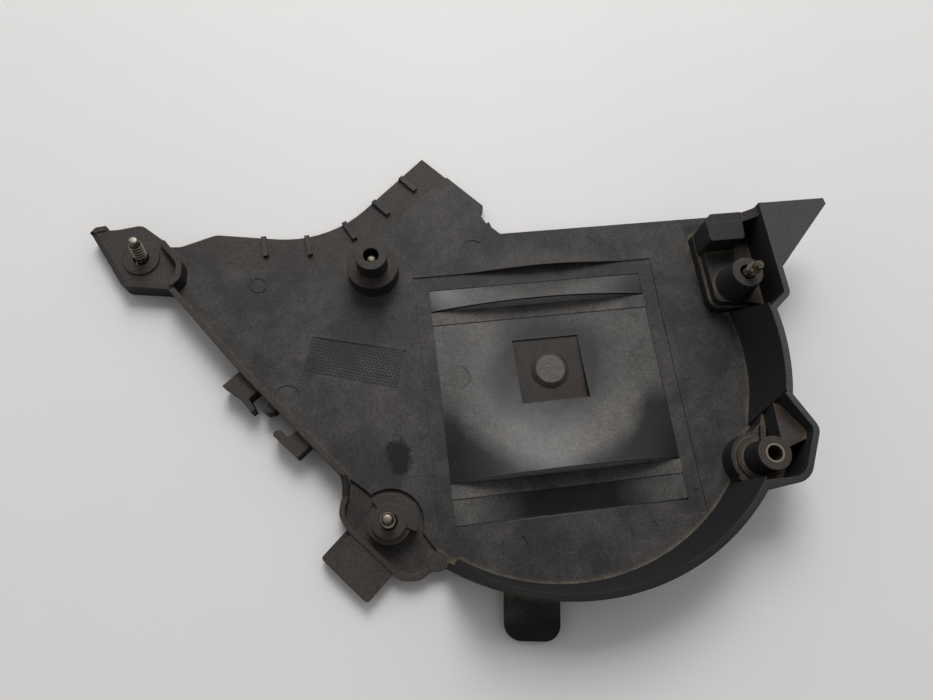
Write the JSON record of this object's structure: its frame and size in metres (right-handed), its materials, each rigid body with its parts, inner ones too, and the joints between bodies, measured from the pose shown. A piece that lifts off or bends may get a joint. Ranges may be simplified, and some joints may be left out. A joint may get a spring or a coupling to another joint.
{
  "type": "timing cover",
  "caption": "Moulded black engine timing cover with a tall round pulley wall, a louvred square panel, screw bosses, captive flange bolts and a pressed-in bush.",
  "frame": {"origin": "centre of the pulley arc on the outer face, which the cover lies on", "axes": "+X along the louvred square's width towards the fin, +Y from the pulley wall towards the cut upper edge, +Z from the outer face to the engine side"},
  "size_m": [0.3576, 0.2424, 0.038],
  "materials": {
    "plastic": "satin moulded glass-filled nylon, dusty",
    "steel": "zinc plated, dull"
  },
  "bodies": {
    "root": {"cover": "plastic", "bolt_upper_left": "steel", "bolt_upper_right": "steel", "bolt_lower_left": "steel", "bolt_centre": "steel", "bush_lower_right": "steel"}
  },
  "joints": []
}
